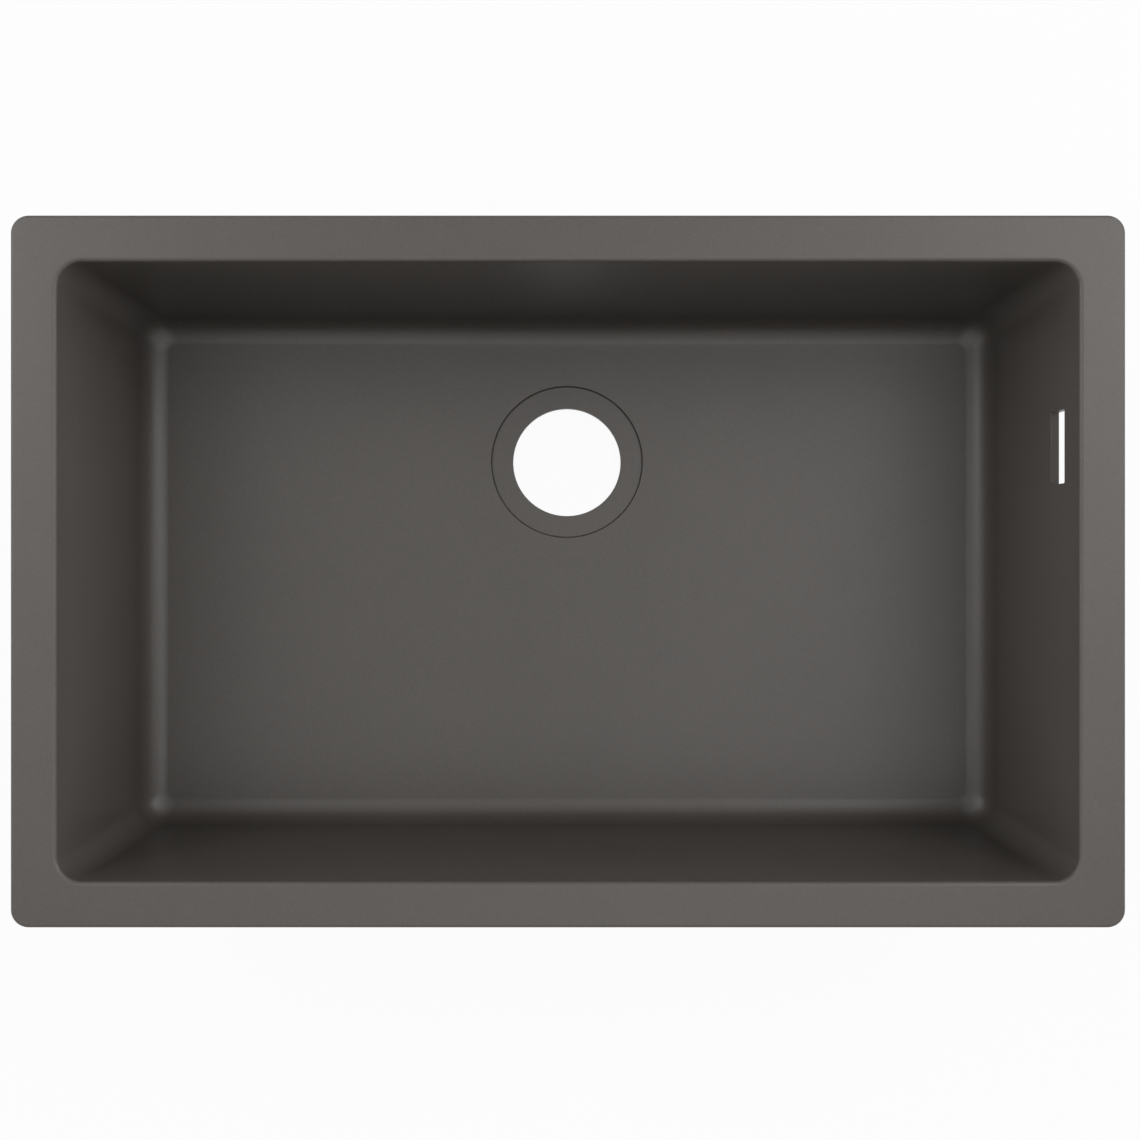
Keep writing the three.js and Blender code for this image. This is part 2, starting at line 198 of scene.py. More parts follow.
# white paper that keeps a trace of the shadows near the object
def makePaper():
    material = bpy.data.materials.new("paper")
    material.use_nodes = True
    tree = material.node_tree
    tree.nodes.clear()
    paper = addNode(tree, "ShaderNodeBsdfDiffuse", Color=(ground["white"],) * 3 + (1,))
    glow = addNode(tree, "ShaderNodeEmission", Color=(1, 1, 1, 1), Strength=1)
    distance = distanceFromDrain(tree)
    glowShare = remap(tree, distance, *ground["fade"], 1 - ground["shadowShare"], 1)
    glowShare = calculate(tree, "MULTIPLY", glowShare, seenOutsideHole(tree, distance))
    fromAbove = mixShaders(tree, glowShare, paper, glow)
    # clear from below, so that the underside can be looked at and the lamps there light it
    side = addNode(tree, "ShaderNodeNewGeometry").outputs["Backfacing"]
    towardsLamp = addNode(tree, "ShaderNodeLightPath").outputs["Is Shadow Ray"]
    clear = addNode(tree, "ShaderNodeBsdfTransparent")
    clearShare = calculate(tree, "MAXIMUM", side, towardsLamp)
    oneSided = mixShaders(tree, clearShare, fromAbove, clear)
    addNode(tree, "ShaderNodeOutputMaterial", Surface=oneSided.outputs[0])
    return material


def makeGround():
    flat = bmesh.new()
    bmesh.ops.create_circle(flat, cap_ends=True, radius=ground["reach"], segments=ground["corners"])
    bmesh.ops.translate(flat, verts=flat.verts, vec=(0, 0, cadLow.z - ground["gap"]))
    mesh = meshFrom(flat, "ground")
    mesh.materials.append(makePaper())
    linkObject("ground", mesh)


studio = {
    "sky": 0.04,
    "lamps": {
        # name: (place, width, height, watts), each turned to the bowl
        "backRight": ((1.3, 1.3, 2.4), 1.2, 1.2, 8.2),
        "frontSteep": ((0.2, -0.8, 2.7), 1.6, 0.8, 6.1),
        "leftHigh": ((-1.6, 0.1, 2.4), 1.2, 2.0, 7.8),
        "rightSteep": ((0.9, 0.1, 2.6), 0.8, 1.6, 8.2),
        "leftClose": ((-1.0, 0.5, 1.0), 0.6, 0.6, 4.1),
        "rightClose": ((1.0, 0.5, 1.0), 0.6, 0.6, 4.0),
        "leftGraze": ((-2.8, 0.1, 0.7), 2.4, 1.0, 26.0),
        "rightGraze": ((2.8, 0.1, 0.7), 2.4, 1.0, 25.5),
        "leftLow": ((-2.8, 0.1, 0.35), 2.4, 0.5, 18.5),
        "rightLow": ((2.8, 0.1, 0.35), 2.4, 0.5, 27.5),
        # below the ground, which lets their light through to the underside
        "under": ((0, 0, -3), 1.4, 1.4, 28),
        "underLeft": ((-2.2, 0, -1.8), 1.2, 1.6, 20),
        "underRight": ((2.2, 0, -1.8), 1.2, 1.6, 12),
    },
    "aim": (0, 0, -0.1),
    "unmirrored": ("leftGraze", "rightGraze", "leftLow", "rightLow"),  # no glare from the side
}


def makeStudio():
    world = bpy.data.worlds.new("studio")
    scene.world = world
    world.use_nodes = True
    tree = world.node_tree
    tree.nodes.clear()
    sky = addNode(tree, "ShaderNodeBackground", Color=(1, 1, 1, 1), Strength=studio["sky"])
    white = addNode(tree, "ShaderNodeBackground", Color=(1, 1, 1, 1), Strength=1)
    seen = seenDirectly(tree)[1]
    both = mixShaders(tree, seen, sky, white)
    addNode(tree, "ShaderNodeOutputWorld", Surface=both.outputs[0])
    for name, (place, width, height, watts) in studio["lamps"].items():
        data = bpy.data.lights.new(name, "AREA")
        data.shape = "RECTANGLE"
        data.size = width
        data.size_y = height
        data.energy = watts
        lamp = linkObject(name, data)
        lamp.visible_glossy = name not in studio["unmirrored"]
        lamp.location = place
        toBowl = Vector(studio["aim"]) - Vector(place)
        lamp.rotation_euler = toBowl.to_track_quat("-Z", "Y").to_euler()


bowl = {
    "length": 660 * mm,  # of the opening, at the foot of the rim's round
    "width": 400 * mm,
    "depth": 190 * mm,
    "draft": math.radians(3.5),
    "wall": 8.5 * mm,
    "floorThickness": 12 * mm,
    "floorFall": 3 * mm,
    "rimRound": 3 * mm,
    "rimCorner": 16 * mm,
    "footCorner": 17 * mm,
    "floorCorner": 8 * mm,
    "floorFillet": 18 * mm,
    "ledge": 30 * mm,
    "flange": 10 * mm,
    "flangeCorner": 11.5 * mm,
    "flangeTopRound": 2 * mm,
    "flangeUnderRound": 1.5 * mm,
    "cove": 3 * mm,
    "cornerSteps": 14,
    "raySpacing": math.radians(3.5),
    "filletSteps": 14,
    "roundSteps": 8,
    "wallRows": 6,
    "floorRows": 7,
    "ledgeRows": 4,
    "sharpAngle": 35,  # edges flatter than this many degrees are smooth
    "sliver": 0.01 * mm,  # shorter edges come out
    "backDrop": 6 * mm,  # the back's finish starts this far down
    "backDepth": 6.8 * mm,  # and this far behind the inner face
}


# how much wider than the opening a wall stands at a height
def wallGrow(z):
    return (z + bowl["rimRound"]) * math.tan(bowl["draft"])


def spread(low, high, count):
    return [low + (high - low) * i / count for i in range(count + 1)]


# a row describes one ring of the moulding: grow is how far it stands out from the opening,
# fall is how much of the floor's slope it follows
def straightRow(fromRing, toRing, count):
    rows = []
    for t in spread(0, 1, count)[1:-1]:
        rows.append({key: fromRing[key] + (toRing[key] - fromRing[key]) * t for key in fromRing})
    return rows


def filletRows(radius, floorZ, offset, floorCorner, wallCorner):
    centreZ = floorZ + radius
    wallZ = centreZ - radius * math.sin(bowl["draft"])
    centreGrow = wallGrow(wallZ) + offset - radius * math.cos(bowl["draft"])
    rows = []
    for t in spread(0, 1, bowl["filletSteps"]):
        angle = -math.pi / 2 + t * (math.pi / 2 - bowl["draft"])
        reach = math.cos(angle) / math.cos(bowl["draft"])
        rows.append({
            "grow": centreGrow + radius * math.cos(angle),
            "z": centreZ + radius * math.sin(angle),
            "corner": floorCorner + (wallCorner - floorCorner) * reach,
            "fall": 1 - t,
        })
    return rows


def roundRows(centreGrow, centreZ, radius, fromDegrees, toDegrees, cornerOf):
    rows = []
    for degrees in spread(fromDegrees, toDegrees, bowl["roundSteps"]):
        angle = math.radians(degrees)
        grow = centreGrow + radius * math.cos(angle)
        z = centreZ + radius * math.sin(angle)
        rows.append({"grow": grow, "z": z, "corner": cornerOf(grow), "fall": 0})
    return rows


drain = {
    "back": 83 * mm,
    "hole": 41 * mm,  # radius
    "holeRound": 0.5 * mm,
    "recess": 57.2 * mm,  # radius, at half the step's height
    "step": 2.5 * mm,
    "stepSlope": 0.3 * mm,  # half the step's width, seen from above
    "stepRound": 0.2 * mm,
    "boss": 64 * mm,
    "bossDraft": 2 * mm,
    "bossEdge": 1 * mm,
    "bossHeight": 3 * mm,
    "holeChamfer": 1 * mm,
    "holeBand": 2 * mm,  # flat rings that keep the small rounds small
    "footBand": 1 * mm,
    "bossRoot": 1 * mm,
    "bossRootHeight": 0.4 * mm,
    "roundSteps": 4,
}
drainCentre = Vector((0, drain["back"], 0))


def cornerCentres(ring):
    x = bowl["length"] / 2 + ring["grow"] - ring["corner"]
    y = bowl["width"] / 2 + ring["grow"] - ring["corner"]
    return [Vector((x, y, 0)), Vector((-x, y, 0)), Vector((-x, -y, 0)), Vector((x, -y, 0))]


def cornerArc(ring, corner):
    centre = cornerCentres(ring)[corner]
    arc = []
    for angle in spread(corner * math.pi / 2, (corner + 1) * math.pi / 2, bowl["cornerSteps"]):
        out = Vector((math.cos(angle), math.sin(angle), 0))
        arc.append(centre + out * ring["corner"])
    return arc


# where even rays from the drain's centre meet each side, as shares of the side's length
def sideShares(ring):
    sides = []
    for corner in range(4):
        start = cornerArc(ring, corner)[-1] - drainCentre
        end = cornerArc(ring, (corner + 1) % 4)[0] - drainCentre
        along = (end - start).normalized()
        foot = start - along * start.dot(along)
        first = math.atan2(start.dot(along), foot.length)
        last = math.atan2(end.dot(along), foot.length)
        count = math.ceil((last - first) / bowl["raySpacing"])
        length = (end - start).length
        shares = []
        for angle in spread(first, last, count)[1:-1]:
            shares.append((foot.length * math.tan(angle) - start.dot(along)) / length)
        sides.append(shares)
    return sides


def ringPoints(ring, shares):
    arcs = [cornerArc(ring, corner) for corner in range(4)]
    points = []
    for corner in range(4):
        start = arcs[corner][-1]
        end = arcs[(corner + 1) % 4][0]
        points += arcs[corner] + [start.lerp(end, share) for share in shares[corner]]
    for point in points:
        point.z = ring["z"] - floorDrop(point) * ring["fall"]
    return points


innerFillet = filletRows(
    bowl["floorFillet"], -bowl["depth"], 0, bowl["floorCorner"], bowl["footCorner"]
)
floorEdge = innerFillet[0]
farthest = math.hypot(
    bowl["length"] / 2 + floorEdge["grow"],
    bowl["width"] / 2 + floorEdge["grow"] + drain["back"],
)


# the floor is a very shallow cone about the drain
def floorDrop(point):
    distance = math.hypot(point.x, point.y - drain["back"])
    way = (distance - drain["recess"]) / (farthest - drain["recess"])
    return bowl["floorFall"] * min(max(1 - way, 0), 1)


# a circle about the drain with a point on the ray to each of the edge's points
def drainRing(radius, z, edge):
    points = []
    for point in edge:
        ray = Vector((point.x, point.y, 0)) - drainCentre
        points.append(drainCentre + ray.normalized() * radius + Vector((0, 0, z)))
    return points


def floorRings(edge):
    rings = []
    for share in spread(0, 1, bowl["floorRows"])[1:-1]:
        ring = []
        for point in edge:
            ray = Vector((point.x, point.y, 0)) - drainCentre
            start = drain["recess"] + drain["stepSlope"] + drain["stepRound"]
            near = drainCentre + ray.normalized() * start
            place = near.lerp(Vector((point.x, point.y, 0)), share)
            place.z = -bowl["depth"] - floorDrop(place)
            ring.append(place)
        rings.append(ring)
    return rings


# radius and height of the drain's step, hole edge and recess, from the hole outwards
def recessProfile():
    topZ = -bowl["depth"] - bowl["floorFall"]
    seatZ = topZ - drain["step"]
    edge = drain["holeRound"]
    profile = []
    for angle in spread(math.pi, math.pi / 2, drain["roundSteps"]):
        profile.append((
            drain["hole"] + edge + edge * math.cos(angle),
            seatZ - edge + edge * math.sin(angle),
        ))
    foot = drain["recess"] - drain["stepSlope"]
    top = drain["recess"] + drain["stepSlope"]
    small = drain["stepRound"]
    profile += [
        (drain["hole"] + drain["holeBand"], seatZ),
        (foot - drain["footBand"], seatZ),
        (foot - small, seatZ),
        (foot, seatZ + small),
        (top, topZ - small),
        (top + small, topZ),
    ]
    return profile


def underProfile():
    undersideZ = -bowl["depth"] - bowl["floorThickness"]
    faceZ = undersideZ - drain["bossHeight"]
    foot = drain["boss"] + drain["bossDraft"]
    edge = drain["bossEdge"]
    near = edge / 3  # the middle of a round in two steps, from the sharp corner
    return [
        (foot + drain["bossRoot"], undersideZ),
        (foot, undersideZ - drain["bossRootHeight"]),
        (drain["boss"], faceZ + edge),
        (drain["boss"] - near, faceZ + near),
        (drain["boss"] - edge, faceZ),
        (drain["hole"] + drain["holeChamfer"], faceZ),
        (drain["hole"], faceZ + drain["holeChamfer"]),
    ]


def mouldingRings():
    shares = sideShares(floorEdge)
    outerFillet = filletRows(
        bowl["floorFillet"] + bowl["wall"],
        -bowl["depth"] - bowl["floorThickness"],
        bowl["wall"],
        bowl["floorCorner"] + bowl["wall"],
        bowl["footCorner"] + bowl["wall"],
    )
    for row in outerFillet:
        row["fall"] = 0

    def rimCorner(grow):
        return bowl["rimCorner"] + grow

    def flangeCorner(grow):
        return bowl["flangeCorner"] + grow - bowl["ledge"]

    rimZ = -bowl["rimRound"]
    rim = roundRows(bowl["rimRound"], rimZ, bowl["rimRound"], 180, 90, rimCorner)
    topRound = bowl["flangeTopRound"]
    top = roundRows(bowl["ledge"] - topRound, -topRound, topRound, 90, 0, flangeCorner)
    underRound = bowl["flangeUnderRound"]
    underZ = underRound - bowl["flange"]
    under = roundRows(bowl["ledge"] - underRound, underZ, underRound, 0, -90, flangeCorner)
    coveZ = -bowl["flange"] - bowl["cove"]
    coveGrow = bowl["wall"] + wallGrow(coveZ) + bowl["cove"]
    cove = roundRows(coveGrow, coveZ, bowl["cove"], 90, 180, rimCorner)
    inside = innerFillet + straightRow(innerFillet[-1], rim[0], bowl["wallRows"]) + rim
    ledge = straightRow(rim[-1], top[0], bowl["ledgeRows"])
    outside = cove + straightRow(cove[-1], outerFillet[-1], bowl["wallRows"])
    rows = inside + ledge + top + under + outside + outerFillet[::-1]
    edge = ringPoints(floorEdge, shares)
    rings = [drainRing(radius, z, edge) for radius, z in recessProfile()]
    rings += floorRings(edge)
    rings += [ringPoints(row, shares) for row in rows]
    rings += [drainRing(radius, z, edge) for radius, z in underProfile()]
    return rings


# a body that closes on itself through the rings
def closedLoft(name, rings):
    count = len(rings[0])
    vertices = [point for ring in rings for point in ring]
    faces = []
    for i in range(len(rings)):
        low = i * count
        high = (i + 1) % len(rings) * count
        for j in range(count):
            k = (j + 1) % count
            faces.append((low + j, high + j, high + k, low + k))
    mesh = bpy.data.meshes.new(name)
    mesh.from_pydata(vertices, [], faces)
    return mesh


# a body turned about Z from a profile of (radius, z), closed at both ends
def turnedBody(shape, profile, facets, place):
    rings = []
    for radius, z in profile:
        ring = []
        for j in range(facets):
            angle = 2 * math.pi * j / facets
            out = Vector((radius * math.cos(angle), radius * math.sin(angle), z))
            ring.append(shape.verts.new(out + place))
        rings.append(ring)
    for low, high in zip(rings, rings[1:]):
        for j in range(facets):
            k = (j + 1) % facets
            shape.faces.new((low[j], low[k], high[k], high[j]))
    shape.faces.new(rings[0][::-1])
    shape.faces.new(rings[-1])


def fixingPlaces():
    places = {}
    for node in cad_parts:
        if node.startswith("screw_"):
            low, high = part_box(node)
            places[node.removeprefix("screw_")] = (low + high) / 2
    return places


stations = fixingPlaces()  # the pieces at back_2 give the sizes for all ten

underside = {
    "pad": 15 * mm,
    "padHeight": 3 * mm,
    "padInsetX": 50 * mm,
    "padInsetY": 45 * mm,
    "boss": 9 * mm,
    "bossHeight": 5 * mm,
    "edge": 0.8 * mm,
    "rootFillet": 1 * mm,
    "rootTurn": math.radians(80),  # how far the root's fillet turns
    "padDraft": 1.5 * mm,
    "sunk": 3 * mm,  # how far a seat reaches into the bowl
    "edgeSteps": 4,
    "rootSteps": 5,
    "holeDepth": 11 * mm,
    "holeClear": 0.3 * mm,  # round the insert
    "holeMouth": 0.4 * mm,
    "drillTip": 2 * mm,
    "tipRadius": 0.5 * mm,
    "cutClear": 2 * mm,  # the cutting body stands out of the face
    "facets": 48,
}


# a round seat that faces down, with a rounded edge and a fillet at its root
def seatProfile(radius, faceZ, rootZ, inset):
    edge = underside["edge"]
    fillet = underside["rootFillet"]
    profile = []
    for angle in spread(0, math.pi / 2, underside["edgeSteps"]):
        profile.append((
            radius - edge + edge * math.sin(angle),
            faceZ + edge - edge * math.cos(angle),
        ))
    for angle in spread(0, underside["rootTurn"], underside["rootSteps"]):
        profile.append((
            radius + inset + fillet * (1 - math.cos(angle)),
            rootZ - fillet + fillet * math.sin(angle),
        ))
    profile.append((profile[-1][0], rootZ + underside["sunk"]))
    return profile


def makeSeats():
    shape = bmesh.new()
    faceZ = -bowl["flange"] - underside["bossHeight"]
    facets = underside["facets"]
    bossProfile = seatProfile(underside["boss"], faceZ, -bowl["flange"], 0)
    for place in stations.values():
        turnedBody(shape, bossProfile, facets, Vector((place.x, place.y, 0)))
    rootZ = -bowl["depth"] - bowl["floorThickness"]
    padZ = rootZ - underside["padHeight"]
    padProfile = seatProfile(underside["pad"], padZ, rootZ, underside["padDraft"])
    x = bowl["length"] / 2 + floorEdge["grow"] - underside["padInsetX"]
    y = bowl["width"] / 2 + floorEdge["grow"] - underside["padInsetY"]
    for place in ((x, y, 0), (-x, y, 0), (-x, -y, 0), (x, -y, 0)):
        turnedBody(shape, padProfile, facets, Vector(place))
    return shape


def makeInsertHoles():
    shape = bmesh.new()
    low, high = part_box("insert_back_2")
    radius = (high.x - low.x) / 2 + underside["holeClear"]
    faceZ = -bowl["flange"] - underside["bossHeight"]
    mouth, clear = underside["holeMouth"], underside["cutClear"]
    endZ = faceZ + underside["holeDepth"]
    profile = [
        (radius + mouth + clear, faceZ - clear),
        (radius, faceZ + mouth),
        (radius, endZ - underside["drillTip"]),
        (underside["tipRadius"], endZ),
    ]
    for place in stations.values():
        turnedBody(shape, profile, underside["facets"], Vector((place.x, place.y, 0)))
    return shape


overflow = {
    "drop": 40.4 * mm,
    "length": 49 * mm,
    "height": 25.4 * mm,
    "corner": 1 * mm,
    "mouthRound": 0.3 * mm,
    "seatLength": 80 * mm,
    "seatHeight": 50 * mm,
    "seatCorner": 8 * mm,
    "wallLeft": 5.6 * mm,
    "inside": 6 * mm,  # where the cutting body starts, inside the bowl
    "flare": 4 * mm,  # how much wider it is there on each side
    "outside": 20 * mm,  # where it ends
    "cornerSteps": 6,
    "edgeSteps": 4,
}


# a rounded rectangle drawn in Y and Z, as a ring at x
def slotRing(x, length, height, corner):
    ring = []
    for quarter in range(4):
        signY = 1 if quarter in (0, 3) else -1
        signZ = 1 if quarter < 2 else -1
        centre = Vector((x, signY * (length / 2 - corner), signZ * (height / 2 - corner)))
        start = quarter * math.pi / 2
        for angle in spread(start, start + math.pi / 2, overflow["cornerSteps"]):
            out = Vector((0, math.cos(angle), math.sin(angle)))
            ring.append(centre + out * corner)
    return ring


def slotBody(rings, tilt, place):
    shape = bmesh.new()
    turn = Matrix.Translation(place) @ Matrix.Rotation(tilt, 4, "Y")
    made = [[shape.verts.new(turn @ point) for point in ring] for ring in rings]
    count = len(made[0])
    for low, high in zip(made, made[1:]):
        for j in range(count):
            k = (j + 1) % count
            shape.faces.new((low[j], low[k], high[k], high[j]))
    shape.faces.new(made[0][::-1])
    shape.faces.new(made[-1])
    return shape


def makeOverflowSlot():
    length, height, corner = overflow["length"], overflow["height"], overflow["corner"]
    edge = overflow["mouthRound"]

    def grownRing(x, grow):
        return slotRing(x, length + 2 * grow, height + 2 * grow, corner + grow)

    rings = [grownRing(-overflow["inside"], overflow["flare"])]
    for angle in spread(0, math.pi / 2, overflow["edgeSteps"]):
        rings.append(grownRing(edge * (1 - math.cos(angle)), edge * (1 - math.sin(angle))))
    rings.append(grownRing(overflow["outside"], 0))
    x = bowl["length"] / 2 + wallGrow(-overflow["drop"])
    return slotBody(rings, bowl["draft"], Vector((x, drain["back"], -overflow["drop"])))


def makeOverflowSeat():
    size = (overflow["seatLength"], overflow["seatHeight"], overflow["seatCorner"])
    rings = [slotRing(overflow["wallLeft"], *size), slotRing(overflow["outside"], *size)]
    x = bowl["length"] / 2 + wallGrow(-overflow["drop"])
    return slotBody(rings, bowl["draft"], Vector((x, drain["back"], -overflow["drop"])))


# takes out the slivers that cutting and joining leave
def cleanMesh(obj):
    shape = bmesh.new()
    shape.from_mesh(obj.data)
    bmesh.ops.dissolve_degenerate(shape, dist=bowl["sliver"], edges=shape.edges)
    shape.to_mesh(obj.data)
    shape.free()


def combine(obj, shape, operation, label):
    bmesh.ops.recalc_face_normals(shape, faces=shape.faces)
    tool = linkObject(label, meshFrom(shape, label))
    step = obj.modifiers.new(label, "BOOLEAN")
    step.operation = operation
    step.solver = "EXACT"
    step.object = tool
    applyAll(obj)
    bpy.data.objects.remove(tool)
    return obj


# how far a point lies behind the bowl's inner face
def depthBehind(point):
    corner = bowl["rimCorner"]
    x = abs(point.x) - bowl["length"] / 2 - wallGrow(point.z) + corner
    y = abs(point.y) - bowl["width"] / 2 - wallGrow(point.z) + corner
    out = math.hypot(max(x, 0), max(y, 0)) + min(max(x, y), 0) - corner
    centreZ = bowl["floorFillet"] - bowl["depth"]
    if point.z > centreZ:
        return out
    return math.hypot(max(out + bowl["floorFillet"], 0), point.z - centreZ) - bowl["floorFillet"]


# 1 on the faces that the mould's rough half makes
def markBack(obj):
    marks = obj.data.attributes.new("back", "FLOAT", "POINT")
    for vertex, mark in zip(obj.data.vertices, marks.data):
        low = vertex.co.z < -bowl["backDrop"]
        mark.value = 1 if low and depthBehind(vertex.co) > bowl["backDepth"] else 0


def makeBowl():
    obj = linkObject("mouldedBowl", closedLoft("mouldedBowl", mouldingRings()))
    combine(obj, makeSeats(), "UNION", "seats")
    combine(obj, makeInsertHoles(), "DIFFERENCE", "insert holes")
    combine(obj, makeOverflowSeat(), "DIFFERENCE", "overflow seat")
    combine(obj, makeOverflowSlot(), "DIFFERENCE", "overflow slot")
    cleanMesh(obj)
    smoothExceptEdges(obj, bowl["sharpAngle"])
    markBack(obj)
    return obj


def newFinish(name):
    material = bpy.data.materials.new(name)
    material.use_nodes = True
    tree = material.node_tree
    place = addNode(tree, "ShaderNodeTexCoord")
    return material, tree, tree.nodes["Principled BSDF"], place.outputs["Object"]


def noise(tree, place, size, detail):
    node = addNode(tree, "ShaderNodeTexNoise", Vector=place, Scale=1 / size, Detail=detail)
    return node.outputs["Fac"]


def blendColours(tree, share, first, second):
    node = addNode(tree, "ShaderNodeMix", data_type="RGBA")
    sockets = (node.inputs[0], node.inputs[6], node.inputs[7])
    for socket, value in zip(sockets, (share, first, second)):
        feed(tree, socket, value + (1,) if isinstance(value, tuple) else value)
    return node.outputs[2]


def addBump(tree, height, distance, under=None):
    node = addNode(tree, "ShaderNodeBump", Height=height, Distance=distance)
    if under is not None:
        tree.links.new(under, node.inputs["Normal"])
    return node.outputs[0]


composite = {
    "tone": (0.0790, 0.0705, 0.0638),
    "backTone": (0.098, 0.089, 0.082),
    "grainSize": 1.1 * mm,
    "grainDetail": 4,
    "grainRange": (0.25, 0.75),  # of the noise, drawn out to the grain's full depth
    "grainDepth": 0.07,  # share of the tone that the grain moves it by
    "chipSize": 0.9 * mm,
    "chipDepth": 0.16,
    "chipShare": 0.16,  # share of the quartz chips that show
    "cloudSize": 45 * mm,
    "cloudDetail": 2,
    "cloudRange": (0.3, 0.7),
    "cloudDepth": 0.025,
    "roughness": 0.42,
    "roughnessSpread": 0.07,
    "roughnessRange": (0.3, 0.7),
    "backRoughness": 0.72,
    "bumpSize": 0.6 * mm,
    "bumpDetail": 3,
    "bumpHeight": 0.012 * mm,
    "backBumpSize": 3 * mm,
    "backBumpDetail": 4,
    "backBumpHeight": 0.08 * mm,
}


# ground quartz in resin: fine grain, scattered chips, faint clouds; rougher at the back
def makeComposite():
    material, tree, shader, place = newFinish("quartzComposite")
    back = addNode(tree, "ShaderNodeAttribute", attribute_name="back").outputs["Fac"]
    grain = noise(tree, place, composite["grainSize"], composite["grainDetail"])
    clouds = noise(tree, place, composite["cloudSize"], composite["cloudDetail"])
    chips = addNode(tree, "ShaderNodeTexVoronoi", Vector=place, Scale=1 / composite["chipSize"])
    chipParts = addNode(tree, "ShaderNodeSeparateColor", Color=chips.outputs["Color"])
    shown = 1 - composite["chipShare"]
    pale = remap(tree, chipParts.outputs["Red"], shown, 1, 0, composite["chipDepth"])
    dark = remap(tree, chipParts.outputs["Green"], shown, 1, 0, -composite["chipDepth"])
    depth = composite["grainDepth"]
    shade = remap(tree, grain, *composite["grainRange"], 1 - depth, 1 + depth)
    depth = composite["cloudDepth"]
    cloudShade = remap(tree, clouds, *composite["cloudRange"], 1 - depth, 1 + depth)
    shade = calculate(tree, "MULTIPLY", shade, cloudShade)
    shade = calculate(tree, "MULTIPLY_ADD", shade, pale, shade)
    shade = calculate(tree, "MULTIPLY_ADD", shade, dark, shade)
    tone = blendColours(tree, back, composite["tone"], composite["backTone"])
    scaled = addNode(tree, "ShaderNodeVectorMath", operation="SCALE", Vector=tone, Scale=shade)
    tree.links.new(scaled.outputs[0], shader.inputs["Base Color"])
    lowest = composite["roughness"] - composite["roughnessSpread"]
    highest = composite["roughness"] + composite["roughnessSpread"]
    front = remap(tree, grain, *composite["roughnessRange"], lowest, highest)
    roughness = remap(tree, back, 0, 1, front, composite["backRoughness"])
    tree.links.new(roughness, shader.inputs["Roughness"])
    fine = noise(tree, place, composite["bumpSize"], composite["bumpDetail"])
    coarse = noise(tree, place, composite["backBumpSize"], composite["backBumpDetail"])
    normal = addBump(tree, fine, composite["bumpHeight"])
    backHeight = calculate(tree, "MULTIPLY", coarse, back)
    normal = addBump(tree, backHeight, composite["backBumpHeight"], normal)
    tree.links.new(normal, shader.inputs["Normal"])
    return material


brass = {
    "name": "brass",
    "tone": (0.72, 0.50, 0.22),
    "dull": (0.50, 0.33, 0.15),
    "roughness": 0.32,
    "patchSize": 2.5 * mm,
    "scratchSize": 0.25 * mm,
    "scratchHeight": 0.006 * mm,
}

zinc = {
    "name": "zincPlate",
    "tone": (0.60, 0.62, 0.64),
    "dull": (0.44, 0.46, 0.47),
    "roughness": 0.36,
    "patchSize": 5 * mm,
    "scratchSize": 0.5 * mm,
    "scratchHeight": 0.012 * mm,
}

steel = {
    "name": "stainlessSteel",
    "tone": (0.66, 0.66, 0.65),
    "dull": (0.52, 0.52, 0.52),
    "roughness": 0.26,
    "patchSize": 3 * mm,
    "scratchSize": 0.3 * mm,
    "scratchHeight": 0.005 * mm,
}

metalWear = {
    "patchDetail": 5,
    "patchRange": (0.4, 0.75),  # of the noise, from polished to dull
    "patchRoughness": 0.15,  # added where the metal is dull
    "scratchDetail": 3,
    "scratchRoughness": 0.08,
}


# a metal with dull patches, fine scratches and uneven polish
def makeMetal(metal):
    material, tree, shader, place = newFinish(metal["name"])
    shader.inputs["Metallic"].default_value = 1
    patches = noise(tree, place, metal["patchSize"], metalWear["patchDetail"])
    scratches = noise(tree, place, metal["scratchSize"], metalWear["scratchDetail"])
    share = remap(tree, patches, *metalWear["patchRange"], 0, 1)
    colour = blendColours(tree, share, metal["tone"], metal["dull"])
    tree.links.new(colour, shader.inputs["Base Color"])
    rough = calculate(tree, "MULTIPLY_ADD", share, metalWear["patchRoughness"], metal["roughness"])
    rough = calculate(tree, "MULTIPLY_ADD", scratches, metalWear["scratchRoughness"], rough)
    tree.links.new(rough, shader.inputs["Roughness"])
    tree.links.new(addBump(tree, scratches, metal["scratchHeight"]), shader.inputs["Normal"])
    return material


compositeFinish = makeComposite()
mouldedBowl = makeBowl()
mouldedBowl.data.materials.clear()
mouldedBowl.data.materials.append(compositeFinish)
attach(mouldedBowl, "sink")
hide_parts("bowl")
print("bowl made:", len(mouldedBowl.data.polygons), "faces")


# how far a station's lug is turned from pointing along +X, read from the frame
def stationTurn(label):
    low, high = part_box("lug_" + label)
    out = (low + high) / 2 - stations[label]
    return round(math.atan2(out.y, out.x) / (math.pi / 2)) * math.pi / 2


def nodeTree(name, inputs):
    tree = bpy.data.node_groups.new(name, "GeometryNodeTree")
    sockets = [("Geometry", "NodeSocketGeometry", None)] + inputs
    for label, kind, value in sockets:
        socket = tree.interface.new_socket(label, in_out="INPUT", socket_type=kind)
        if value is not None:
            socket.default_value = value
    tree.interface.new_socket("Geometry", in_out="OUTPUT", socket_type="NodeSocketGeometry")
    return tree, addNode(tree, "NodeGroupInput"), addNode(tree, "NodeGroupOutput")


# a modifier's inputs are set by the sockets' identifiers
def runTree(obj, tree, values):
    modifier = obj.modifiers.new(tree.name, "NODES")
    modifier.node_group = tree
    for item in tree.interface.items_tree:
        if item.in_out == "INPUT" and item.name in values:
            modifier[item.identifier] = values[item.name]
    return applyAll(obj)


def finishTree(tree, end, geometry, material):
    realize = addNode(tree, "GeometryNodeRealizeInstances", Geometry=geometry).outputs[0]
    paint = addNode(tree, "GeometryNodeSetMaterial", Geometry=realize, Material=material)
    tree.links.new(paint.outputs[0], end.inputs[0])


